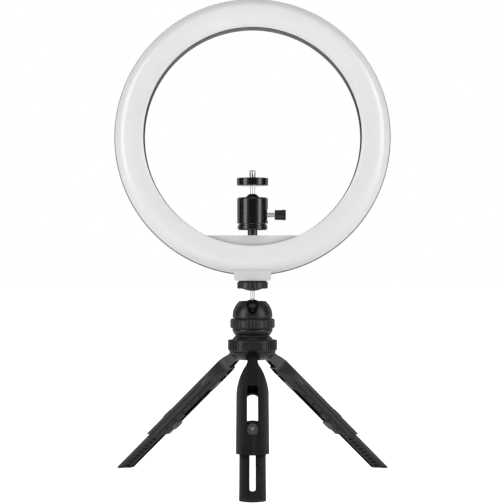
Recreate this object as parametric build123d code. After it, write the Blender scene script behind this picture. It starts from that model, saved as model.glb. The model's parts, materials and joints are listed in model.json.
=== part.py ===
from build123d import *
import math
import os

# Ring light on a mini tripod, with a phone ball head on the shelf inside the ring.
# Millimetres, +Z up, front of the light towards -Y. Everything is laid out about the
# tripod's own axis (x = 0, y = 0) and moved to the bottom centre of its box at the end.

# Ring light head
RING_Z = 319.8
RING_R = 130.0
HOLE_R = 102.0
BACK_Y = 13.0
RIM_Y = 0.0
LIP_Y = -10.0
RIM_STEP = 0.6
CREST_Y = -14.0
CREST_R = 115.7
DOME_OUTER = (125.6, -9.9)
DOME_INNER = (108.7, -13.0)
DOME_WALL = 1.8
DOME_OUTER_INSIDE = (123.8, -8.9)
DOME_INNER_INSIDE = (109.4, -11.3)
CUT_GAP = 0.02
WALL = 2.0
BOARD_FRONT = 6.0
BOARD_BACK = 7.6
BOARD_SCREW_R = 1.2
LED_COUNT = 60
LED_ROWS = (110.5, 121.5)

# Bracket and shelf
BLOCK_WIDTH = 34.5
BLOCK_BOTTOM = 185.1
SHELF_TOP = 227.5
SHELF_FRONT = -7.0
BRACKET_BACK = 11.0
CABLE_R = 2.6
CABLE_Z = 201.0

# Screw threads, quarter inch
STUD_R = 3.175
STUD_CORE_R = 2.95
INSERT_R = 5.0
INSERT_TOP = 190.3
TRIPOD_STUD_TOP = 189.9

# Phone ball head
PHONE_SCREW_R = 1.6
PHONE_SCREW_END = 218.5
PHONE_BALL_R = 7.25
PHONE_BALL_Z = 259.75
PHONE_STEM_R = 1.95
PHONE_BODY_R = 14.4
PHONE_BODY_BOTTOM = 238.7
PHONE_BODY_TOP = 263.2
PHONE_DISC_BOTTOM = 273.9
PHONE_DISC_TOP = 281.5
PHONE_STUD_TOP = 288.6
KNOB_Z = 246.7
KNOB_R = 5.05
KNOB_START = 20.9
KNOB_END = 31.3
CLAMP_SCREW_R = 2.15

# Tripod ball head
BALL_R = 10.3
BALL_Z = 157.3
BALL_GAP = 0.3
STEM_R = 2.1
SEAT_BOTTOM = 143.0
BELL_TOP = 165.8
BELL_BOTTOM = 150.1
BELL_R = 18.7
RING_LOCK_TOP = 149.3
RING_LOCK_BOTTOM = 140.4
RING_LOCK_R = 21.0
CUP_TOP = 139.9
CUP_BOTTOM = 134.1
NECK_BOTTOM = 132.6
DISC_R = 14.5
DISC_BOTTOM = 177.5
DISC_TOP = 184.9

# Leg hub and collar
HUB_TOP = 124.4
HUB_BOTTOM = 110.6
HUB_R = 22.0
COLLAR_TOP = 132.4
COLLAR_BOTTOM = 118.4
COLLAR_R = 23.15
BOLT_R = 3.0
SHAFT_GAP = 0.05

# Legs: each is drawn straight along X (length), Y (width), Z (height over the apex line)
LEG_ANGLES = {"front": -90, "right": 30, "left": 150}
SLOPE = 42.1
LEG_ORIGIN = (29.11, 91.59)
HINGE_T = -27.83
HINGE_H = 9.77
PIN_R = 1.5
PIN_HALF = 11.0
EYE_R = 4.6
NECK_WIDTH = 9.7
SHELL_R = 17.0
SHELL_FLOOR = 1.8
SHELL_LENGTH = 106.0
SHELL_LEVEL = 35.2
COVER_START = 9.0
SHOULDER_START = -13.0
FLARE = (-4.3, 7.55)
SHOULDER_END = 22.0
SHELL_HALF = 14.75
SPLIT_H = 6.0
INSET = 2.2
INNER_R = 14.8
INNER_FLOOR = 4.1
INNER_START = 60.0
SLIDE_GAP = 0.3
SLOT_START = 17.5
SLOT_END = 79.6
SLOT_WIDTH = 9.7
BUTTON_START = 66.3
BUTTON_END = 79.1
BUTTON_WIDTH = 9.2
BUTTON_TOP = 17.6
BUTTON_FOOT = 1.0
RACK_PITCH = 5.1
RACK_COUNT = 10
SOLE = 2.2

nodes = {}


def outline(points):
    return make_face(Polyline(*points, close=True))


def turned(points):
    """Solid of revolution about Z from (radius, z) points."""
    return revolve(Plane.XZ * outline(points), Axis.Z)


def ring_turned(face):
    """Solid of revolution about the ring's own axis from a face in (radius, y)."""
    return Pos(0, 0, RING_Z) * revolve(face, Axis.Y)


def rod(radius, start, end, x=0.0, y=0.0):
    """Upright cylinder between two heights."""
    return Pos(x, y, (start + end) / 2) * Cylinder(radius, end - start)


def cross_rod(radius, start, end, axis, at):
    """Cylinder along X or Y through the point at, between two places on that axis."""
    length = end - start
    middle = (start + end) / 2
    if axis == "x":
        return Pos(middle, at[1], at[2]) * Rot(0, 90, 0) * Cylinder(radius, length)
    return Pos(at[0], middle, at[2]) * Rot(90, 0, 0) * Cylinder(radius, length)


def block(x0, x1, y0, y1, z0, z1):
    middle = Pos((x0 + x1) / 2, (y0 + y1) / 2, (z0 + z1) / 2)
    return middle * Box(x1 - x0, y1 - y0, z1 - z0)


def around(count, first=0.0):
    """Evenly spaced angles in degrees."""
    return [first + 360.0 * i / count for i in range(count)]


# ---------------------------------------------------------------- legs

def sector_face(radius, inset, floor):
    """120 degree sector, apex down, its two flat sides moved in by inset."""
    apex = inset / math.sin(math.radians(60))
    reach = -apex / 2 + math.sqrt(radius ** 2 - 0.75 * apex ** 2)
    side = (reach * math.sin(math.radians(60)), apex + reach / 2)
    foot = ((floor - apex) * math.tan(math.radians(60)), floor)
    edges = [
        Line((-foot[0], foot[1]), foot),
        Line(foot, side),
        ThreePointArc(side, (0, radius), (-side[0], side[1])),
        Line((-side[0], side[1]), (-foot[0], foot[1])),
    ]
    return make_face(edges)


def sector(radius, inset, floor, start, end):
    face = Plane.YZ * sector_face(radius, inset, floor)
    return Pos(start, 0, 0) * extrude(face, end - start)


def shoulder_plan():
    """Top view of the housing: it flares out of the neck and curves to full width."""
    n = NECK_WIDTH / 2
    end = SHELL_LENGTH + 1
    right = [
        Line((end, 0), (end, -SHELL_HALF)),
        Line((end, -SHELL_HALF), (SHOULDER_END, -SHELL_HALF)),
        ThreePointArc((SHOULDER_END, -SHELL_HALF), (5.5, -11.8), (FLARE[0], -FLARE[1])),
        ThreePointArc((FLARE[0], -FLARE[1]), (-8.2, -5.5), (SHOULDER_START, -n)),
        Line((SHOULDER_START, -n), (SHOULDER_START, 0)),
        Line((SHOULDER_START, 0), (end, 0)),
    ]
    half = extrude(make_face(right), 20)
    return half + mirror(half, about=Plane.XZ)


def shoulder_side():
    """Side view of the housing, with the crest dropping towards the neck."""
    end = SHELL_LENGTH + 1
    edges = [
        Line((SHOULDER_START, 3.0), (2, 0)),
        Line((2, 0), (end, 0)),
        Line((end, 0), (end, 18)),
        Line((end, 18), (14, 18)),
        Line((14, 18), (14, 17.05)),
        ThreePointArc((14, 17.05), (0, 16.7), (SHOULDER_START, 15.6)),
        Line((SHOULDER_START, 15.6), (SHOULDER_START, 3.0)),
    ]
    face = Plane.XZ * make_face(edges)
    return Pos(0, 20, 0) * extrude(face, 40)


def below_level(level):
    """Everything under a height above the floor, in the leg's own straight frame."""
    return leg_place().inverse() * block(0, 260, -30, 30, level - 90, level)


def leg_slot(start, end, width, low, high):
    """Slot with round ends along the leg, cut through from low to high."""
    face = Pos((start + end) / 2, 0, low) * SlotOverall(end - start, width)
    return extrude(face, high - low)


def neck():
    """Flat neck that carries the hinge eye."""
    half = NECK_WIDTH / 2
    edges = [
        Line((HINGE_T, 5.2), (SHOULDER_START + 2, 4.4)),
        Line((SHOULDER_START + 2, 4.4), (SHOULDER_START + 2, 15.7)),
        Line((SHOULDER_START + 2, 15.7), (SHOULDER_START, 15.6)),
        ThreePointArc((SHOULDER_START, 15.6), (-18, 14.3), (-22.5, 13.5)),
        Line((-22.5, 13.5), (HINGE_T, 13.5)),
        Line((HINGE_T, 13.5), (HINGE_T, 5.2)),
    ]
    web = Pos(0, half, 0) * extrude(Plane.XZ * make_face(edges), NECK_WIDTH)
    eye = cross_rod(EYE_R, -half, half, "y", (HINGE_T, 0, HINGE_H))
    return web + eye


def neck_hollow():
    """Hollow in the underside of the neck, with two ribs left standing across it."""
    half = NECK_WIDTH / 2 - 1.6
    hollow = block(-20.5, 6.5, -half, half, -1, 9.5)
    for t in (-12.5, -4.0):
        hollow -= block(t, t + 1.3, -half - 1, half + 1, -2, 10)
    return hollow


def side_notches(first, pitch, count, height, size, depth):
    """Short rectangular recesses in both flat sides of a sector."""
    cuts = Part()
    face_tilt = 30
    for side in (-1, 1):
        y = side * height * math.tan(math.radians(60))
        for i in range(count):
            tool = Rot(side * face_tilt, 0, 0) * Box(size[0], size[1], 2 * depth)
            cuts += Pos(first + i * pitch, y, height) * tool
    return cuts


def housing():
    body = sector(SHELL_R, 0, SHELL_FLOOR, SHOULDER_START, SHELL_LENGTH)
    body = body & shoulder_plan() & shoulder_side()
    room = (INNER_R + SLIDE_GAP, INSET - SLIDE_GAP, INNER_FLOOR - SLIDE_GAP)
    cavity = sector(*room, 11, SHELL_LENGTH + 1)
    shell = body + neck() - cavity - neck_hollow()
    shell -= leg_slot(SLOT_START, SLOT_END, SLOT_WIDTH, 0, 20)
    shell -= below_level(SHELL_LEVEL)
    eye_bore = cross_rod(PIN_R + SHAFT_GAP, -20, 20, "y", (HINGE_T, 0, HINGE_H))
    return shell - eye_bore


def split_housing():
    """Upper shell with the neck, and the lower cover that closes its underside."""
    whole = housing()
    end = SHELL_LENGTH + 1
    below = block(COVER_START, end, -20, 20, -1, SPLIT_H)
    skin = sector(SHELL_R + 1, -1, 0, 8, end) - sector(SHELL_R - 0.8, 0.8, 2, 8, end)
    groove = skin & block(8, end, -20, 20, SPLIT_H - 0.45, SPLIT_H)
    upper = whole - below
    cover = (whole & below) - groove
    cover -= side_notches(30, 12.3, 5, 4.2, (3.0, 1.6), 0.8)
    return upper, cover


def leg_place():
    slope = math.radians(SLOPE)
    x_dir = (math.cos(slope), 0, -math.sin(slope))
    z_dir = (math.sin(slope), 0, math.cos(slope))
    origin = (LEG_ORIGIN[0], 0, LEG_ORIGIN[1])
    return Plane(origin=origin, x_dir=x_dir, z_dir=z_dir).location


def inner_leg():
    bar = sector(INNER_R, INSET, INNER_FLOOR, INNER_START, 175)
    bar -= leg_slot(84, 140.6, 5.1, 0, 20)
    bar -= leg_slot(BUTTON_START - 0.3, BUTTON_END + 0.3, BUTTON_WIDTH + 0.6, 0, 20)
    apex = INSET / math.sin(math.radians(60))
    notches = side_notches(98.0, RACK_PITCH, RACK_COUNT, 4.0, (3.3, 4.2), 0.9)
    return bar - Pos(0, 0, apex) * notches


def split_foot():
    """Inner leg cut level above the floor, and the rubber sole under it."""
    bar = inner_leg()
    foot = below_level(SOLE)
    sole = (bar & foot) - below_level(0)
    return bar - foot, sole


def button():
    """Leg lock: its head shows in the slot, its ribbed foot comes out underneath."""
    stem = leg_slot(BUTTON_START, BUTTON_END, BUTTON_WIDTH, BUTTON_FOOT, BUTTON_TOP)
    crown = sector(BUTTON_TOP, 0, 1.0, BUTTON_START - 1, BUTTON_END + 1)
    stem = stem & (crown + block(BUTTON_START, BUTTON_END, -6, 6, 0, 8))
    for i in range(4):
        t = BUTTON_START + 3.4 + 2 * i
        stem -= block(t - 0.4, t + 0.4, -6, 6, 0, BUTTON_FOOT + 0.7)
    return stem


def add_legs():
    upper, cover = split_housing()
    bar, sole = split_foot()
    pin = cross_rod(PIN_R, -PIN_HALF, PIN_HALF, "y", (HINGE_T, 0, HINGE_H))
    pieces = {
        "housing": upper,
        "cover": cover,
        "inner": bar,
        "rubber_foot": sole,
        "lock_button": button(),
        "hinge_pin": pin,
    }
    for side, angle in LEG_ANGLES.items():
        place = Rot(0, 0, angle) * leg_place()
        for name, shape in pieces.items():
            nodes["leg_" + side + "_" + name] = place * shape


# ---------------------------------------------------------------- hub and tripod head

def leg_hub():
    bowl = turned([
        (0, HUB_BOTTOM), (12.8, HUB_BOTTOM), (17.5, 112.6), (20.8, 115.4), (HUB_R, 118.0),
        (20.4, 118.0), (20.4, HUB_TOP), (0, HUB_TOP),
    ])
    for angle in LEG_ANGLES.values():
        slot = block(9.4, 30, -6.5, 6.5, 100, 116.5)
        slot += block(15, 30, -6.5, 6.5, 100, 120)
        eye_room = cross_rod(5.6, -6.5, 6.5, "y", (HINGE_T, 0, HINGE_H))
        pin_bore = cross_rod(PIN_R, -PIN_HALF, PIN_HALF, "y", (HINGE_T, 0, HINGE_H))
        bowl -= Rot(0, 0, angle) * (slot + leg_place() * (eye_room + pin_bore))
    bowl -= rod(BOLT_R + SHAFT_GAP, 100, 130)
    return bowl - rod(6.5, 100, HUB_BOTTOM + 3.5)


def hub_collar():
    """Ribbed band over the top of the hub, with a plain panel at the front."""
    band = turned([
        (20.4, COLLAR_BOTTOM), (21.6, COLLAR_BOTTOM), (COLLAR_R, 120.6), (COLLAR_R, 129.2),
        (19.5, 129.4), (17.2, COLLAR_TOP), (BOLT_R + 4, COLLAR_TOP), (BOLT_R + 4, HUB_TOP),
        (20.4, HUB_TOP),
    ])
    cuts = Part()
    for angle in around(60, 3):
        away = abs((angle - 270 + 180) % 360 - 180)
        if away > 26:
            cuts += Rot(0, 0, angle) * block(COLLAR_R - 0.55, 30, -0.55, 0.55, 117, 129.0)
    panel = block(-9.35, 9.35, -30, -COLLAR_R + 1.9, 120.8, 127.6)
    return band - cuts - panel


def pan_base():
    """Cup under the lock ring, with the tube that the ring turns on."""
    cup = turned([
        (7.0, NECK_BOTTOM), (16.2, NECK_BOTTOM), (16.2, CUP_BOTTOM), (17.2, CUP_BOTTOM + 0.4),
        (19.0, CUP_TOP - 2), (19.0, CUP_TOP), (15.0, CUP_TOP), (15.0, BELL_BOTTOM - 0.2),
        (12.4, BELL_BOTTOM - 0.2), (12.4, 141.0), (7.0, 141.0),
    ])
    return cup


def pan_bolt():
    head = rod(6.9, 133.0, 137.5) - extrude(Pos(0, 0, 135.5) * RegularPolygon(2.5, 6), 3)
    return head + rod(BOLT_R, 108.6, 133.0)


def pan_nut():
    nut = extrude(Pos(0, 0, 111.2) * RegularPolygon(5.4, 6), 2.6)
    return nut - rod(BOLT_R, 100, 120)


def head_bell():
    """Bell that holds the ball down, with a U notch at the front for a full tilt."""
    edges = [
        Line((0, BELL_BOTTOM), (BELL_R, BELL_BOTTOM)),
        ThreePointArc((BELL_R, BELL_BOTTOM), (17.6, 158.4), (13.6, 164.6)),
        ThreePointArc((13.6, 164.6), (13.0, 165.4), (12.0, BELL_TOP)),
        Line((12.0, BELL_TOP), (0, BELL_TOP)),
        Line((0, BELL_TOP), (0, BELL_BOTTOM)),
    ]
    bell = revolve(Plane.XZ * make_face(edges), Axis.Z)
    bell -= Pos(0, 0, BALL_Z) * Sphere(BALL_R + BALL_GAP)
    bell -= rod(BALL_R + BALL_GAP, 145, BALL_Z)
    bell -= rod(5.9, BALL_Z, 170)
    notch = Plane.XZ * outline([(-4.4, 157.0), (4.4, 157.0), (6.6, 170), (-6.6, 170)])
    notch = extrude(notch, 30) + cross_rod(4.4, -30, 0, "y", (0, 0, 158.6))
    return bell - notch


def ball_seat():
    seat = rod(BALL_R, SEAT_BOTTOM, 153.0) + rod(12.35, SEAT_BOTTOM, BELL_BOTTOM - 0.2)
    return seat - Pos(0, 0, BALL_Z) * Sphere(BALL_R + BALL_GAP) - rod(4, 140, 160)


def lock_ring():
    """Turning ring: wide smooth lobes between groups of three narrow ribs."""
    ring = turned([
        (15.3, RING_LOCK_BOTTOM), (20.2, RING_LOCK_BOTTOM), (RING_LOCK_R, 141.6),
        (RING_LOCK_R, 147.9), (20.0, RING_LOCK_TOP), (15.3, RING_LOCK_TOP),
    ])
    cuts = Part()
    for group in around(8, 270):
        for step in (-13.5, -4.5, 4.5, 13.5):
            cuts += Rot(0, 0, group + step) * rod(1.15, 139, 151, RING_LOCK_R + 0.5)
    return ring - cuts


def drilled_ball(radius, height, bore):
    """Ball with a blind hole from the top for its stem."""
    return Pos(0, 0, height) * Sphere(radius) - rod(bore, height + 2, height + radius + 1)


def tripod_ball():
    return drilled_ball(BALL_R, BALL_Z, STEM_R)


def tripod_stud():
    """Polished stem and the screw that holds the light, in one piece."""
    return turned([
        (0, BALL_Z + 2), (STEM_R, BALL_Z + 2), (STEM_R + 0.05, BALL_Z + BALL_R + 0.2), (2.7, 175.0),
        (STUD_R, 175.4), (STUD_R, TRIPOD_STUD_TOP), (0, TRIPOD_STUD_TOP),
    ]) - Pos(0, 0, BALL_Z) * (Sphere(BALL_R) - rod(STEM_R, 0, 20))


def lock_disc():
    disc = turned([
        (STUD_R + SHAFT_GAP, 175.6), (5.0, 175.6), (10.2, DISC_BOTTOM), (DISC_R - 0.5, DISC_BOTTOM),
        (DISC_R, 178.0), (DISC_R, 182.9), (12.7, DISC_TOP), (STUD_R + SHAFT_GAP, DISC_TOP),
    ])
    for angle in around(6, 270):
        disc -= Rot(0, 0, angle) * rod(5.6, 170, 190, DISC_R + 4.5)
    return disc


def add_tripod_head():
    nodes["leg_hub"] = leg_hub()
    nodes["hub_collar"] = hub_collar()
    nodes["pan_base"] = pan_base()
    nodes["pan_bolt"] = pan_bolt()
    nodes["pan_nut"] = pan_nut()
    nodes["head_bell"] = head_bell()
    nodes["ball_seat"] = ball_seat()
    nodes["ball_lock_ring"] = lock_ring()
    nodes["tripod_ball"] = tripod_ball()
    nodes["tripod_stud"] = tripod_stud()
    nodes["tripod_lock_disc"] = lock_disc()


# ---------------------------------------------------------------- ring light

def diffuser():
    """Milky cover: a shallow dome round the ring, deeper at its outer edge."""
    outer_x, inner_x = RING_R - RIM_STEP, HOLE_R + 0.2
    crest, crest_inside = (CREST_R, CREST_Y), (CREST_R, CREST_Y + DOME_WALL)
    rim_inside, lip_inside = (outer_x - DOME_WALL, RIM_Y), (inner_x + DOME_WALL, LIP_Y)
    face = make_face([
        ThreePointArc((outer_x, RIM_Y), DOME_OUTER, crest),
        ThreePointArc(crest, DOME_INNER, (inner_x, LIP_Y)),
        Line((inner_x, LIP_Y), lip_inside),
        ThreePointArc(lip_inside, DOME_INNER_INSIDE, crest_inside),
        ThreePointArc(crest_inside, DOME_OUTER_INSIDE, rim_inside),
        Line(rim_inside, (outer_x, RIM_Y)),
    ])
    return ring_turned(face)


def bracket_core(gap=0.0):
    """The part of the bracket that runs through the ring."""
    return block(-14 - gap, 14 + gap, 0.3 - gap, BRACKET_BACK, 186, 226)


def ring_solid():
    """The whole ring without its hollow, for cutting neighbours back to it."""
    outer_x, inner_x = RING_R - RIM_STEP + CUT_GAP, HOLE_R + 0.2 - CUT_GAP
    crest = (CREST_R, CREST_Y - CUT_GAP)
    outer_middle = (DOME_OUTER[0] + CUT_GAP, DOME_OUTER[1] - CUT_GAP)
    inner_middle = (DOME_INNER[0], DOME_INNER[1] - CUT_GAP)
    face = make_face([
        ThreePointArc((outer_x, RIM_Y), outer_middle, crest),
        ThreePointArc(crest, inner_middle, (inner_x, LIP_Y)),
        Line((inner_x, LIP_Y), (HOLE_R, LIP_Y)),
        Line((HOLE_R, LIP_Y), (HOLE_R, BACK_Y)),
        Line((HOLE_R, BACK_Y), (RING_R, BACK_Y)),
        Line((RING_R, BACK_Y), (RING_R, RIM_Y)),
        Line((RING_R, RIM_Y), (outer_x, RIM_Y)),
    ])
    return ring_turned(face)


def rear_shell():
    """Channel section, open to the front, with standoffs for the LED board."""
    channel = outline([
        (HOLE_R, LIP_Y + 0.3), (HOLE_R + 0.3, LIP_Y), (HOLE_R + WALL, LIP_Y),
        (HOLE_R + WALL, BACK_Y - WALL), (RING_R - WALL, BACK_Y - WALL), (RING_R - WALL, RIM_Y),
        (RING_R, RIM_Y), (RING_R, BACK_Y - 2.5), (RING_R - 2.5, BACK_Y), (HOLE_R + 1.5, BACK_Y),
        (HOLE_R, BACK_Y - 1.5),
    ])
    shell = ring_turned(channel)
    for at in screw_places():
        shell += cross_rod(3.2, BOARD_BACK, BACK_Y - WALL + 0.5, "y", at)
        shell -= cross_rod(BOARD_SCREW_R, BOARD_BACK, BACK_Y - 1, "y", at)
    return shell - bracket_core(0.4)


def led_board():
    inner, outer = LED_ROWS[0] - 4.5, LED_ROWS[1] + 4.5
    band = outline([
        (inner, BOARD_FRONT), (outer, BOARD_FRONT), (outer, BOARD_BACK), (inner, BOARD_BACK),
    ])
    board = ring_turned(band)
    for at in screw_places():
        board -= cross_rod(BOARD_SCREW_R + 0.1, 5, 9, "y", at)
    return board - bracket_core(0.4)


def screw_places():
    places = []
    for angle in around(6):
        a = math.radians(angle)
        places.append((CREST_R * math.cos(a), 0, RING_Z + CREST_R * math.sin(a)))
    return places


def board_screws():
    screws = Part()
    for at in screw_places():
        screws += cross_rod(2.3, BOARD_FRONT - 1.2, BOARD_FRONT, "y", at)
        screws += cross_rod(BOARD_SCREW_R, BOARD_FRONT, BACK_Y - 1.5, "y", at)
    return screws


def leds():
    """Two rows of LEDs; the lowest ones are left out where the bracket passes."""
    chips = []
    for row in LED_ROWS:
        for angle in around(LED_COUNT, 3):
            if abs(angle - 270) > 9:
                chip = Pos(row, 5.5, 0) * Box(2.8, 1.0, 3.5)
                chips.append(Pos(0, 0, RING_Z) * Rot(0, -angle, 0) * chip)
    return Compound(children=chips)


def mount_bracket():
    """Block under the ring and crescent shelf inside it, joined through the ring."""
    lower = block(-BLOCK_WIDTH / 2, BLOCK_WIDTH / 2, -10, BRACKET_BACK, BLOCK_BOTTOM, 200)
    lower = fillet(lower.edges().filter_by(Axis.Y).group_by(Axis.Z)[0], 2.2)
    hole_disc = Pos(0, 0, RING_Z) * Rot(90, 0, 0) * Cylinder(HOLE_R - 0.05, 80)
    shelf = block(-90, 90, SHELF_FRONT, BRACKET_BACK, 210, SHELF_TOP) & hole_disc
    lower = (lower - ring_solid()).solids().sort_by(Axis.Z)[0]
    whole = lower + bracket_core() + shelf
    whole -= rod(INSERT_R, 180, INSERT_TOP)
    whole -= rod(PHONE_SCREW_R, PHONE_SCREW_END, 230)
    return whole - cable_bore()


def cable_bore():
    """Hole for the lead, through the back of the bracket and the shell."""
    return cross_rod(CABLE_R, 5, 20, "y", (0, 0, CABLE_Z))


def tripod_insert():
    insert = rod(INSERT_R, BLOCK_BOTTOM + 0.1, INSERT_TOP)
    return insert - rod(STUD_R + SHAFT_GAP, 180, INSERT_TOP + 1)


def cable_gland():
    """Rubber gland at the back, where the lead would come out."""
    at = (0, 0, CABLE_Z)
    gland = cross_rod(4.6, BACK_Y, BACK_Y + 2, "y", at)
    gland += cross_rod(3.4, BACK_Y + 2, BACK_Y + 6, "y", at)
    gland += cross_rod(CABLE_R, BACK_Y - 6, BACK_Y, "y", at)
    return gland - cross_rod(1.5, 0, 30, "y", at)


def add_ring():
    nodes["rear_shell"] = rear_shell() - cable_bore()
    nodes["diffuser"] = diffuser()
    nodes["led_board"] = led_board()
    nodes["leds"] = leds()
    nodes["board_screws"] = board_screws()
    nodes["mount_bracket"] = mount_bracket()
    nodes["tripod_insert"] = tripod_insert()
    nodes["cable_gland"] = cable_gland()


# ---------------------------------------------------------------- phone head

def phone_head_base():
    """Stem and base ring that the phone head turns on."""
    base = turned([
        (1.65, SHELF_TOP), (4.6, SHELF_TOP), (4.6, 232.5), (13.0, 232.5), (14.0, 233.6),
        (14.0, 236.4), (13.7, 236.7), (13.2, 236.7), (13.2, 238.4), (1.65, 238.4),
    ])
    return base


def phone_head_screw():
    return rod(PHONE_SCREW_R, PHONE_SCREW_END, 238.4) + rod(2.8, 238.4, 240.4)


def phone_head_body():
    edges = [
        Line((3.2, PHONE_BODY_BOTTOM), (PHONE_BODY_R, PHONE_BODY_BOTTOM)),
        Line((PHONE_BODY_R, PHONE_BODY_BOTTOM), (PHONE_BODY_R, PHONE_BODY_TOP - 2)),
        ThreePointArc(
            (PHONE_BODY_R, PHONE_BODY_TOP - 2),
            (PHONE_BODY_R - 0.586, PHONE_BODY_TOP - 0.586),
            (PHONE_BODY_R - 2, PHONE_BODY_TOP),
        ),
        Line((PHONE_BODY_R - 2, PHONE_BODY_TOP), (3.2, PHONE_BODY_TOP)),
        Line((3.2, PHONE_BODY_TOP), (3.2, PHONE_BODY_BOTTOM)),
    ]
    body = revolve(Plane.XZ * make_face(edges), Axis.Z)
    body -= Pos(0, 0, PHONE_BALL_Z) * Sphere(PHONE_BALL_R + 0.3)
    body -= rod(PHONE_BALL_R + 0.3, 240.6, PHONE_BALL_Z)
    body -= rod(6.6, PHONE_BALL_Z, 270)
    body -= cross_rod(CLAMP_SCREW_R + SHAFT_GAP, 5, 20, "x", (0, 0, KNOB_Z))
    body -= cross_rod(4.0, 0, 20, "y", (0, 0, PHONE_BODY_TOP + 1.2))
    flat = block(PHONE_BODY_R - 0.6, 20, -5.5, 5.5, KNOB_Z - 5.5, KNOB_Z + 5.5)
    return body - flat


def phone_ball_seat():
    seat = rod(PHONE_BALL_R + 0.25, 249.8, 257.5)
    return seat - Pos(0, 0, PHONE_BALL_Z) * Sphere(PHONE_BALL_R + 0.3)


def phone_ball():
    return drilled_ball(PHONE_BALL_R, PHONE_BALL_Z, PHONE_STEM_R)


def phone_stud():
    return turned([
        (0, PHONE_BALL_Z + 2), (PHONE_STEM_R, PHONE_BALL_Z + 2),
        (PHONE_STEM_R, PHONE_BALL_Z + PHONE_BALL_R + 0.1),
        (2.65, PHONE_DISC_BOTTOM), (STUD_CORE_R, PHONE_DISC_BOTTOM + 0.2), (STUD_CORE_R, PHONE_DISC_TOP),
        (STUD_R, PHONE_DISC_TOP), (STUD_R, PHONE_STUD_TOP - 0.5),
        (STUD_R - 0.5, PHONE_STUD_TOP), (0, PHONE_STUD_TOP),
    ])


def phone_disc():
    """Round platform, countersunk round the thread so that its top stays flat and clear."""
    bore = STUD_CORE_R + SHAFT_GAP
    return turned([
        (bore, 274.3), (14.2, 274.3), (14.7, 274.8), (14.7, 281.0), (14.2, PHONE_DISC_TOP),
        (STUD_R + 0.1, PHONE_DISC_TOP), (bore, PHONE_DISC_TOP - 0.4),
    ])


def clamp_screw():
    return cross_rod(CLAMP_SCREW_R, 8.6, KNOB_START + 5, "x", (0, 0, KNOB_Z))


def clamp_knob():
    """Fluted knob on the side of the phone head."""
    knob = cross_rod(KNOB_R - 0.3, KNOB_START, KNOB_END, "x", (0, 0, KNOB_Z))
    knob += cross_rod(KNOB_R, KNOB_END - 3.2, KNOB_END - 0.8, "x", (0, 0, KNOB_Z))
    for angle in around(14):
        a = math.radians(angle)
        at = (0, (KNOB_R + 0.35) * math.cos(a), KNOB_Z + (KNOB_R + 0.35) * math.sin(a))
        knob -= cross_rod(0.75, KNOB_START + 1.2, KNOB_END + 1, "x", at)
    return knob - cross_rod(CLAMP_SCREW_R, 0, KNOB_START + 5, "x", (0, 0, KNOB_Z))


def add_phone_head():
    nodes["phone_head_base"] = phone_head_base()
    nodes["phone_head_screw"] = phone_head_screw()
    nodes["phone_head_body"] = phone_head_body()
    nodes["phone_ball_seat"] = phone_ball_seat()
    nodes["phone_ball"] = phone_ball()
    nodes["phone_stud"] = phone_stud()
    nodes["phone_disc"] = phone_disc()
    nodes["clamp_screw"] = clamp_screw()
    nodes["clamp_knob"] = clamp_knob()


# ---------------------------------------------------------------- write out

def base_shift():
    """From the tripod's axis to the bottom centre of the whole object's box."""
    boxes = [shape.bounding_box() for shape in nodes.values()]
    low_x = min(box.min.X for box in boxes)
    high_x = max(box.max.X for box in boxes)
    low_y = min(box.min.Y for box in boxes)
    high_y = max(box.max.Y for box in boxes)
    low_z = min(box.min.Z for box in boxes)
    return Pos(-(low_x + high_x) / 2, -(low_y + high_y) / 2, -low_z)


def write_nodes():
    os.makedirs("parts", exist_ok=True)
    shift = base_shift()
    print("shift", shift.position)
    for name, shape in nodes.items():
        solids = (shift * shape).solids()
        whole = solids[0] if len(solids) == 1 else Compound(children=list(solids))
        export_step(whole, "parts/" + name + ".step")


add_legs()
add_tripod_head()
add_ring()
add_phone_head()
write_nodes()
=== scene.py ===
import json
import math

import bmesh
import bpy
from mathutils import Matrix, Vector


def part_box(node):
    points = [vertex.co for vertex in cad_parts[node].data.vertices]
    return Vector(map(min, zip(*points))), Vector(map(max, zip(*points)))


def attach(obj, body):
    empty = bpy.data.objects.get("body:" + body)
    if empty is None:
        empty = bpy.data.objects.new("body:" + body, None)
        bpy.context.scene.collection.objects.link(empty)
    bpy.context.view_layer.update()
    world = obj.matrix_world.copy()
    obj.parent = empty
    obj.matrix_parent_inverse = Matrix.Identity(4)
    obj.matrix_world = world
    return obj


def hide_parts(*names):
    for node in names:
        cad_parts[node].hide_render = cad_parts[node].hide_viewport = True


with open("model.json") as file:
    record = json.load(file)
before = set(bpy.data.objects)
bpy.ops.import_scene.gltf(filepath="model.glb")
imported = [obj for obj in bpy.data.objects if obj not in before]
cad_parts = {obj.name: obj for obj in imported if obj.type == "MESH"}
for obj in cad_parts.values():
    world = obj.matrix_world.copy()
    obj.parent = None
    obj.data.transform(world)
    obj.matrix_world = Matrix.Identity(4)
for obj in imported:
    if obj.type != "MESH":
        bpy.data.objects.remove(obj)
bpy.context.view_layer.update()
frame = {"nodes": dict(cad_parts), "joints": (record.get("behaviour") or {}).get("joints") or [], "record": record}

MM = 0.001
SLOT_OF = {part["node"]: part["material_slot"] for part in frame["record"]["subparts"]}
BODY_OF = {n: b for b, ns in frame["record"]["behaviour"]["bodies"].items() for n in ns}


def middle(node):
    low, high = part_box(node)
    return (low + high) / 2


TRIPOD_AXIS = middle("tripod_stud")
RING_MIDDLE = middle("rear_shell")
RING_R = (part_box("rear_shell")[1].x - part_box("rear_shell")[0].x) / 2


# ---------------------------------------------------------------- materials

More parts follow.
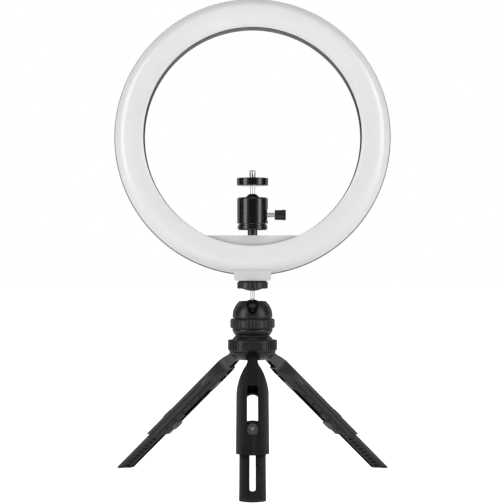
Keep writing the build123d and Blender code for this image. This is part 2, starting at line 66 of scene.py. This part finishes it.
class Shader:
    """A Principled material with short helpers for its procedural nodes."""

    def __init__(self, name, rough, metallic=0.0, coat=0.0, coat_rough=0.1):
        self.material = bpy.data.materials.new(name)
        self.material.use_nodes = True
        self.tree = self.material.node_tree
        self.bsdf = self.tree.nodes["Principled BSDF"]
        self.bsdf.inputs["Metallic"].default_value = metallic
        self.bsdf.inputs["Roughness"].default_value = rough
        self.bsdf.inputs["Coat Weight"].default_value = coat
        self.bsdf.inputs["Coat Roughness"].default_value = coat_rough
        self.bsdf.inputs["Specular IOR Level"].default_value = 0.4
        self.coords = self.tree.nodes.new("ShaderNodeTexCoord").outputs["Object"]

    def link(self, source, target):
        self.tree.links.new(source, target)

    def noise(self, scale, detail=3.0, stretch=(1, 1, 1)):
        mapping = self.tree.nodes.new("ShaderNodeMapping")
        mapping.inputs["Scale"].default_value = stretch
        self.link(self.coords, mapping.inputs["Vector"])
        texture = self.tree.nodes.new("ShaderNodeTexNoise")
        texture.inputs["Scale"].default_value = scale
        texture.inputs["Detail"].default_value = detail
        self.link(mapping.outputs["Vector"], texture.inputs["Vector"])
        return texture.outputs["Fac"]

    def remap(self, source, low, high, to_low, to_high):
        node = self.tree.nodes.new("ShaderNodeMapRange")
        for key, value in zip(("From Min", "From Max", "To Min", "To Max"), (low, high, to_low, to_high)):
            node.inputs[key].default_value = value
        self.link(source, node.inputs["Value"])
        return node.outputs["Result"]

    def mix(self, factor, a, b):
        node = self.tree.nodes.new("ShaderNodeMix")
        node.data_type = "RGBA"
        self.link(factor, node.inputs["Factor"])
        for socket, value in ((node.inputs["A"], a), (node.inputs["B"], b)):
            if isinstance(value, tuple):
                socket.default_value = (*value, 1.0)
            else:
                self.link(value, socket)
        return node.outputs["Result"]

    def bump(self, height, strength, distance=0.0002):
        node = self.tree.nodes.new("ShaderNodeBump")
        node.inputs["Strength"].default_value = strength
        node.inputs["Distance"].default_value = distance
        self.link(height, node.inputs["Height"])
        self.link(node.outputs["Normal"], self.bsdf.inputs["Normal"])

    def edges(self):
        geometry = self.tree.nodes.new("ShaderNodeNewGeometry")
        return self.remap(geometry.outputs["Pointiness"], 0.52, 0.62, 0.0, 1.0)


def shade(color, factor):
    return tuple(min(1.0, c * factor) for c in color)


def moulded(name, color, rough, grain=2600.0, texture=0.12, wear=1.6, coat=0.0):
    """Moulded plastic or rubber: fine spark texture, cloudy tone, edges rubbed paler."""
    m = Shader(name, rough, coat=coat)
    cloud = m.remap(m.noise(38.0), 0.3, 0.7, 0.0, 1.0)
    base = m.mix(cloud, shade(color, 0.88), shade(color, 1.12))
    m.link(m.mix(m.edges(), base, shade(color, wear)), m.bsdf.inputs["Base Color"])
    smears = m.noise(95.0, 5.0)
    m.link(m.remap(smears, 0.3, 0.7, rough - 0.06, rough + 0.08), m.bsdf.inputs["Roughness"])
    m.bump(m.noise(grain, 2.0), texture)
    return m.material


def turned_metal(name, color, rough, lines=0.08, coat=0.0, metallic=1.0):
    """Lathe-turned metal: fine rings along its axis and a little staining."""
    m = Shader(name, rough, metallic=metallic, coat=coat, coat_rough=0.06)
    stain = m.remap(m.noise(160.0, 4.0), 0.35, 0.7, 0.0, 1.0)
    base = m.mix(stain, color, shade(color, 0.82))
    m.link(m.mix(m.edges(), base, shade(color, 1.25)), m.bsdf.inputs["Base Color"])
    rings = m.noise(40.0, 2.0, (1.0, 1.0, 90.0))
    m.link(m.remap(rings, 0.3, 0.7, rough - 0.04, rough + 0.07), m.bsdf.inputs["Roughness"])
    m.bump(rings, lines, 0.00005)
    return m.material


def milky():
    """Milky diffuser: white with a little depth, satin, faint moulding flow."""
    m = Shader("milky_diffuser", 0.34, coat=0.5, coat_rough=0.16)
    flow = m.remap(m.noise(14.0, 4.0), 0.3, 0.7, 0.0, 1.0)
    m.link(m.mix(flow, (0.72, 0.72, 0.72), (0.75, 0.75, 0.75)), m.bsdf.inputs["Base Color"])
    m.bsdf.inputs["Subsurface Weight"].default_value = 0.25
    m.bsdf.inputs["Subsurface Scale"].default_value = 0.004
    m.bsdf.inputs["Subsurface Radius"].default_value = (1.0, 1.0, 1.0)
    m.link(m.remap(m.noise(60.0, 5.0), 0.3, 0.7, 0.30, 0.40), m.bsdf.inputs["Roughness"])
    m.bump(m.noise(1800.0, 2.0), 0.05)
    return m.material


MATERIALS = {
    "tripod_black": moulded("tripod_plastic", (0.005, 0.005, 0.0052), 0.34, texture=0.05, wear=3.0),
    "rubber_black": moulded("rubber", (0.012, 0.012, 0.012), 0.75, 1500.0, 0.3, 1.5),
    "button_grey": moulded("button_plastic", (0.055, 0.055, 0.06), 0.4),
    "ball_black": turned_metal("ball_black", (0.005, 0.005, 0.005), 0.3, 0.03, 0.2, 0.2),
    "dark_steel": turned_metal("black_oxide", (0.05, 0.05, 0.052), 0.35),
    "steel": turned_metal("plated_steel", (0.58, 0.58, 0.60), 0.28),
    "nylon": moulded("nylon", (0.72, 0.72, 0.68), 0.45, wear=1.1),
    "polished_steel": turned_metal("polished_steel", (0.78, 0.78, 0.80), 0.12, 0.03),
    "shell_black": moulded("shell_plastic", (0.012, 0.012, 0.013), 0.36, 2200.0, 0.1, 2.0),
    "diffuser_white": milky(),
    "bracket_white": moulded("bracket_plastic", (0.575, 0.575, 0.575), 0.42, 2400.0, 0.06, 1.05),
    "board_white": moulded("solder_mask", (0.80, 0.80, 0.80), 0.4, 900.0, 0.05, 1.0),
    "led_yellow": moulded("led_phosphor", (0.85, 0.68, 0.18), 0.25, 3000.0, 0.05, 1.0),
    "brass": turned_metal("brass", (0.75, 0.55, 0.25), 0.3),
    "anodised_black": turned_metal("black_anodising", (0.004, 0.004, 0.0042), 0.2, 0.05, 0.5, 0.35),
}


MARK = moulded("button_mark", (0.16, 0.16, 0.165), 0.45)


# ---------------------------------------------------------------- building helpers

def new_piece(name, mesh, slot, body):
    piece = bpy.data.objects.new(name, mesh)
    bpy.context.scene.collection.objects.link(piece)
    mesh.materials.clear()
    mesh.materials.append(MATERIALS[slot])
    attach(piece, body)
    return piece


def smooth(mesh):
    for face in mesh.polygons:
        face.use_smooth = True


def softened(node, width, flat_angle=26.0):
    """Copy of a CAD node with its edges rounded, standing for that node."""
    mesh = frame["nodes"][node].data.copy()
    build = bmesh.new()
    build.from_mesh(mesh)
    bmesh.ops.remove_doubles(build, verts=build.verts, dist=2e-6)
    bmesh.ops.dissolve_limit(
        build, angle_limit=math.radians(0.4), verts=build.verts, edges=build.edges)
    build.to_mesh(mesh)
    build.free()
    for attribute in ("custom_normal", "sharp_edge"):
        if attribute in mesh.attributes:
            mesh.attributes.remove(mesh.attributes[attribute])
    smooth(mesh)
    piece = new_piece(node + "_soft", mesh, SLOT_OF[node], BODY_OF[node])
    bevel = piece.modifiers.new("round_edges", "BEVEL")
    bevel.width = width
    bevel.segments = 2
    bevel.limit_method = "ANGLE"
    bevel.angle_limit = math.radians(flat_angle)
    bevel.use_clamp_overlap = True
    normals = piece.modifiers.new("even_shading", "WEIGHTED_NORMAL")
    normals.keep_sharp = False
    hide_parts(node)
    return piece


def lathe(name, profile, slot, body, centre, axis="z", steps=96, wobble=None):
    """Closed surface turned about an axis from (radius, along) points in metres."""
    build = bmesh.new()
    rows = []
    for radius, along in profile:
        row = []
        for i in range(steps):
            a = 2 * math.pi * i / steps
            r = radius if wobble is None else wobble(radius, along, a)
            x, y = r * math.cos(a), r * math.sin(a)
            point = (x, y, along) if axis == "z" else (x, along, y)
            row.append(build.verts.new(Vector(point) + centre))
        rows.append(row)
    for first, second in zip(rows, rows[1:]):
        for i in range(steps):
            j = (i + 1) % steps
            build.faces.new((first[i], first[j], second[j], second[i]))
    if profile[0] == profile[-1]:
        bmesh.ops.remove_doubles(build, verts=build.verts, dist=1e-7)
    else:
        build.faces.new(rows[0])
        build.faces.new(rows[-1])
    bmesh.ops.recalc_face_normals(build, faces=build.faces)
    mesh = bpy.data.meshes.new(name)
    build.to_mesh(mesh)
    build.free()
    smooth(mesh)
    mesh.set_sharp_from_angle(angle=math.radians(38))
    return new_piece(name, mesh, slot, body)


def arc(centre, radius, start, end, count):
    """Points on an arc, in degrees from start to end, both ends included."""
    points = []
    for i in range(count + 1):
        a = math.radians(start + (end - start) * i / count)
        points.append((centre[0] + radius * math.cos(a), centre[1] + radius * math.sin(a)))
    return points


# ---------------------------------------------------------------- ring light

def circle_through(a, b, c):
    """Centre and radius of the circle through three points."""
    d = 2 * (a[0] * (b[1] - c[1]) + b[0] * (c[1] - a[1]) + c[0] * (a[1] - b[1]))
    qa, qb, qc = (p[0] ** 2 + p[1] ** 2 for p in (a, b, c))
    x = (qa * (b[1] - c[1]) + qb * (c[1] - a[1]) + qc * (a[1] - b[1])) / d
    y = (qa * (c[0] - b[0]) + qb * (a[0] - c[0]) + qc * (b[0] - a[0])) / d
    return (x, y), math.hypot(a[0] - x, a[1] - y)


def dome_side(a, b, c, count):
    """Points from a to c on the circle that passes through b."""
    centre, radius = circle_through(a, b, c)
    start = math.degrees(math.atan2(a[1] - centre[1], a[0] - centre[0]))
    end = math.degrees(math.atan2(c[1] - centre[1], c[0] - centre[0]))
    turn = (end - start + 180) % 360 - 180
    return arc(centre, radius, start, start + turn, count)


def build_diffuser():
    """Smooth dome on the CAD diffuser's own section, with rounded lips."""
    low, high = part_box("diffuser")
    outer = (high.x - low.x) / 2
    crest_y = low.y
    rim_y = high.y
    depth = rim_y - crest_y
    inner = RING_R - 27.8 * MM
    crest = (outer - 13.7 * MM, crest_y)
    lip_y = crest_y + 0.29 * depth
    wall = 1.8 * MM
    lip = 0.35 * MM
    front = dome_side((outer, rim_y), (outer - 3.8 * MM, crest_y + 0.29 * depth), crest, 18)
    front += dome_side(crest, (crest[0] - 7 * MM, crest_y + 0.07 * depth), (inner, lip_y - lip), 14)[1:]
    back = [(inner + lip, lip_y), (inner + wall, lip_y)]
    back += dome_side(
        (inner + wall, lip_y), (crest[0] - 6.3 * MM, crest_y + 0.19 * depth),
        (crest[0], crest_y + wall), 10)[1:]
    back += dome_side(
        (crest[0], crest_y + wall), (outer - 5.2 * MM, crest_y + 0.364 * depth),
        (outer - wall, rim_y), 12)[1:]
    profile = front + back + [front[0]]
    centre = Vector((RING_MIDDLE.x, 0, RING_MIDDLE.z))
    piece = lathe("diffuser_dome", profile, "diffuser_white", "ring_light", centre, "y", 288)
    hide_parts("diffuser")


def build_ring():
    build_diffuser()
    softened("rear_shell", 0.5 * MM)
    softened("mount_bracket", 0.45 * MM)
    softened("cable_gland", 0.3 * MM)
    softened("phone_head_base", 0.25 * MM)


# ---------------------------------------------------------------- ball heads

def thread_wobble(start, end, pitch, depth):
    """Radius of a screw thread, fading in and out at its two ends."""
    def radius_at(radius, along, angle):
        if not start < along < end:
            return radius
        phase = (along / pitch - angle / (2 * math.pi)) % 1.0
        fade = min(1.0, (along - start) / pitch, (end - along) / pitch)
        return radius - depth * fade * abs(2 * phase - 1)
    return radius_at


def threaded_stud(node, name, thread_from, neck_z):
    """Tapered bright stem with a real thread on its screw, in one turned piece."""
    low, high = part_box(node)
    axis = middle(node)
    stud_r = (high.x - low.x) / 2
    pitch = 25.4 * MM / 20
    profile = [(1e-5, low.z), (1.95 * MM, low.z), (1.95 * MM, neck_z), (2.15 * MM, neck_z + 1 * MM)]
    profile += [(2.65 * MM, thread_from - 0.3 * MM), (stud_r, thread_from)]
    thread_to = high.z - 0.5 * MM
    steps = 14 * round((thread_to - thread_from) / pitch)
    for i in range(1, steps + 1):
        profile.append((stud_r, thread_from + (thread_to - thread_from) * i / steps))
    profile += [(stud_r - 0.5 * MM, high.z), (1e-5, high.z)]
    wobble = thread_wobble(thread_from, thread_to, pitch, 0.62 * MM)
    centre = Vector((axis.x, axis.y, 0))
    piece = lathe(name, profile, SLOT_OF[node], BODY_OF[node], centre, "z", 64, wobble)
    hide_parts(node)


def smooth_ball(node, name):
    """Ball with a small flat where its stem goes in."""
    low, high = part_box(node)
    axis = middle(node)
    radius = (high.x - low.x) / 2
    centre_z = low.z + radius
    profile = [(max(r, 1e-5), z) for r, z in arc((0, centre_z), radius, -90, 73, 40)]
    profile += [(2.0 * MM, profile[-1][1]), (2.0 * MM, centre_z + 2 * MM), (1e-5, centre_z + 2 * MM)]
    centre = Vector((axis.x, axis.y, 0))
    piece = lathe(name, profile, SLOT_OF[node], BODY_OF[node], centre, "z", 72)
    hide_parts(node)


def build_heads():
    smooth_ball("phone_ball", "phone_ball_round")
    smooth_ball("tripod_ball", "tripod_ball_round")
    threaded_stud("phone_stud", "phone_stud_thread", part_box("phone_disc")[0].z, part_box("phone_ball")[1].z)
    threaded_stud(
        "tripod_stud", "tripod_stud_thread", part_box("tripod_lock_disc")[0].z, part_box("tripod_ball")[1].z)
    softened("phone_head_body", 0.3 * MM)
    softened("phone_disc", 0.15 * MM)
    softened("clamp_knob", 0.15 * MM)
    softened("clamp_screw", 0.2 * MM)
    softened("tripod_lock_disc", 0.35 * MM)
    softened("head_bell", 0.5 * MM)
    softened("ball_lock_ring", 0.3 * MM)
    softened("pan_base", 0.4 * MM)


# ---------------------------------------------------------------- tripod

def build_tripod():
    softened("leg_hub", 0.4 * MM)
    softened("hub_collar", 0.25 * MM)
    for side in ("front", "right", "left"):
        leg = "leg_" + side + "_"
        softened(leg + "housing", 0.5 * MM)
        softened(leg + "cover", 0.3 * MM)
        softened(leg + "inner", 0.35 * MM)
        softened(leg + "rubber_foot", 0.3 * MM)
        softened(leg + "lock_button", 0.4 * MM)
        button_mark(side)


def leg_axes(side):
    """Directions along a leg and out of its crest, from its sliding joint and its hinge."""
    joints = {j["name"]: j for j in frame["joints"]}
    along = Vector(joints["leg_" + side + "_extend"]["axis"])
    across = Vector(joints["leg_" + side + "_fold"]["axis"])
    return along.normalized(), across.normalized(), along.cross(across).normalized() * -1


def button_mark(side):
    """Small raised triangle on the lock button, pointing down the leg."""
    node = "leg_" + side + "_lock_button"
    along, across, out = leg_axes(side)
    if out.z < 0:
        out = -out
    vertices = [v.co for v in frame["nodes"][node].data.vertices]
    top = max(v.dot(out) for v in vertices)
    ahead = [v.dot(along) for v in vertices]
    aside = [v.dot(across) for v in vertices]
    centre = along * (max(ahead) + min(ahead)) / 2 + across * (max(aside) + min(aside)) / 2
    centre += out * (top - 0.12 * MM)
    corners = [(2.6, 0.0), (-1.8, -2.1), (-1.8, 2.1)]
    build = bmesh.new()
    low = [build.verts.new(centre + along * (x * MM) + across * (y * MM)) for x, y in corners]
    high = [build.verts.new(v.co + out * (0.3 * MM)) for v in low]
    build.faces.new(low)
    build.faces.new(high)
    for i in range(3):
        j = (i + 1) % 3
        build.faces.new((low[i], low[j], high[j], high[i]))
    bmesh.ops.recalc_face_normals(build, faces=build.faces)
    mesh = bpy.data.meshes.new("leg_" + side + "_button_mark")
    build.to_mesh(mesh)
    build.free()
    piece = new_piece(mesh.name, mesh, "button_grey", BODY_OF[node])
    mesh.materials.clear()
    mesh.materials.append(MARK)
    bevel = piece.modifiers.new("round_edges", "BEVEL")
    bevel.width = 0.15 * MM
    bevel.segments = 2


# ---------------------------------------------------------------- floor, light, camera

def studio_world(seen, low, high):
    """White where it is seen. Its light is two bands of softboxes, before and behind the object."""
    world = bpy.data.worlds.new("studio")
    world.use_nodes = True
    tree = world.node_tree
    make = tree.nodes.new
    direction = make("ShaderNodeTexCoord")
    toward_front = make("ShaderNodeSeparateXYZ")
    tree.links.new(direction.outputs["Generated"], toward_front.inputs["Vector"])
    ramp = make("ShaderNodeValToRGB")
    facing = make("ShaderNodeMapRange")
    facing.inputs["From Min"].default_value = -1.0
    facing.inputs["From Max"].default_value = 1.0
    tree.links.new(toward_front.outputs["Y"], facing.inputs["Value"])
    tree.links.new(facing.outputs["Result"], ramp.inputs["Fac"])
    front = ((0.0, low), (0.05, low), (0.09, high), (0.26, high), (0.34, low))
    stops = front + tuple((1.0 - position, level) for position, level in reversed(front))
    ramp.color_ramp.elements[0].position = stops[0][0]
    ramp.color_ramp.elements[1].position = stops[-1][0]
    for position, _ in stops[1:-1]:
        ramp.color_ramp.elements.new(position)
    for element, (_, level) in zip(ramp.color_ramp.elements, stops):
        element.color = (level, level, level, 1.0)
    rays = make("ShaderNodeLightPath")
    pick = make("ShaderNodeMix")
    pick.data_type = "RGBA"
    pick.inputs["B"].default_value = (seen, seen, seen, 1.0)
    tree.links.new(rays.outputs["Is Camera Ray"], pick.inputs["Factor"])
    tree.links.new(ramp.outputs["Color"], pick.inputs["A"])
    tree.links.new(pick.outputs["Result"], tree.nodes["Background"].inputs["Color"])
    bpy.context.scene.world = world


def build_floor():
    """Round pale floor under the object, lifted to the backdrop's white only where it is seen."""
    build = bmesh.new()
    bmesh.ops.create_circle(build, cap_ends=True, segments=96, radius=9.0)
    mesh = bpy.data.meshes.new("floor")
    build.to_mesh(mesh)
    build.free()
    floor = bpy.data.objects.new("floor", mesh)
    bpy.context.scene.collection.objects.link(floor)
    paper = Shader("paper", 0.9)
    tone = paper.remap(paper.noise(2.0), 0.3, 0.7, 0.0, 1.0)
    paper.link(paper.mix(tone, (0.93, 0.93, 0.93), (0.96, 0.96, 0.96)), paper.bsdf.inputs["Base Color"])
    paper.bsdf.inputs["Emission Color"].default_value = (1, 1, 1, 1)
    rays = paper.tree.nodes.new("ShaderNodeLightPath")
    glow = paper.remap(rays.outputs["Is Camera Ray"], 0.0, 1.0, 0.28, 0.95)
    paper.link(glow, paper.bsdf.inputs["Emission Strength"])
    mesh.materials.append(paper.material)


def softbox(name, azimuth, distance, height, size, power):
    """Rectangular light at an azimuth from the camera's side, aimed at the object."""
    light = bpy.data.lights.new(name, "AREA")
    light.shape = "RECTANGLE"
    light.size, light.size_y = size
    light.energy = power
    lamp = bpy.data.objects.new(name, light)
    a = math.radians(azimuth)
    place = Vector((distance * math.sin(a), -distance * math.cos(a), height))
    target = Vector((0, TRIPOD_AXIS.y, 0.24))
    lamp.location = place
    lamp.rotation_euler = (target - place).to_track_quat("-Z", "Y").to_euler()
    bpy.context.scene.collection.objects.link(lamp)


def build_studio():
    studio_world(1.0, 0.07, 0.62)
    build_floor()
    softbox("left_box", -58, 1.3, 0.45, (0.6, 1.3), 9.5)
    softbox("right_box", 58, 1.3, 0.45, (0.6, 1.3), 9.0)
    softbox("top_box", 0, 0.9, 1.5, (1.4, 1.0), 3.0)


def build_camera():
    """Level camera in front, at the height where the tripod head is seen square on."""
    data = bpy.data.cameras.new("camera")
    data.sensor_width = 36.0
    data.lens = 113.8
    data.clip_end = 50.0
    camera = bpy.data.objects.new("camera", data)
    camera.location = (-0.0005, TRIPOD_AXIS.y - 1.499, 0.2119)
    camera.rotation_euler = (math.radians(90), 0, 0)
    bpy.context.scene.collection.objects.link(camera)
    bpy.context.scene.camera = camera
    bpy.context.scene.view_settings.view_transform = "Standard"


def give_node_materials():
    for node, thing in frame["nodes"].items():
        thing.data.materials.clear()
        thing.data.materials.append(MATERIALS[SLOT_OF[node]])


build_camera()
give_node_materials()
build_ring()
build_heads()
build_tripod()
build_studio()
